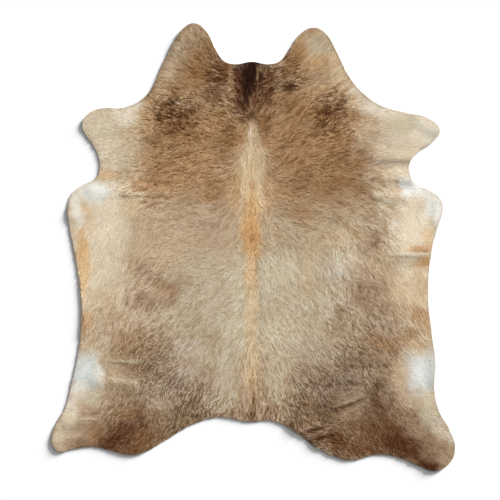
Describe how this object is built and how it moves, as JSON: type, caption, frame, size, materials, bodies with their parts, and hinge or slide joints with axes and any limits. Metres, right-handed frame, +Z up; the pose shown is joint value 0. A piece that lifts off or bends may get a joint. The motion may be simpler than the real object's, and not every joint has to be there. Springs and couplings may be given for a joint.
{
  "type": "cowhide rug",
  "caption": "Whole tanned cowhide rug lying flat, hair side up, with two neck lobes, four shank flaps and low soft folds.",
  "frame": {"origin": "on the floor under the middle of the rug's length and width", "axes": "+Z up through the hair side, +Y toward the neck, +X to the right seen from above"},
  "size_m": [2.014, 2.2341, 0.0114],
  "materials": {
    "hide": "hair-on, soft and matt with a faint sheen along the hair"
  },
  "bodies": {
    "root": {"hide": "hide"}
  },
  "joints": []
}
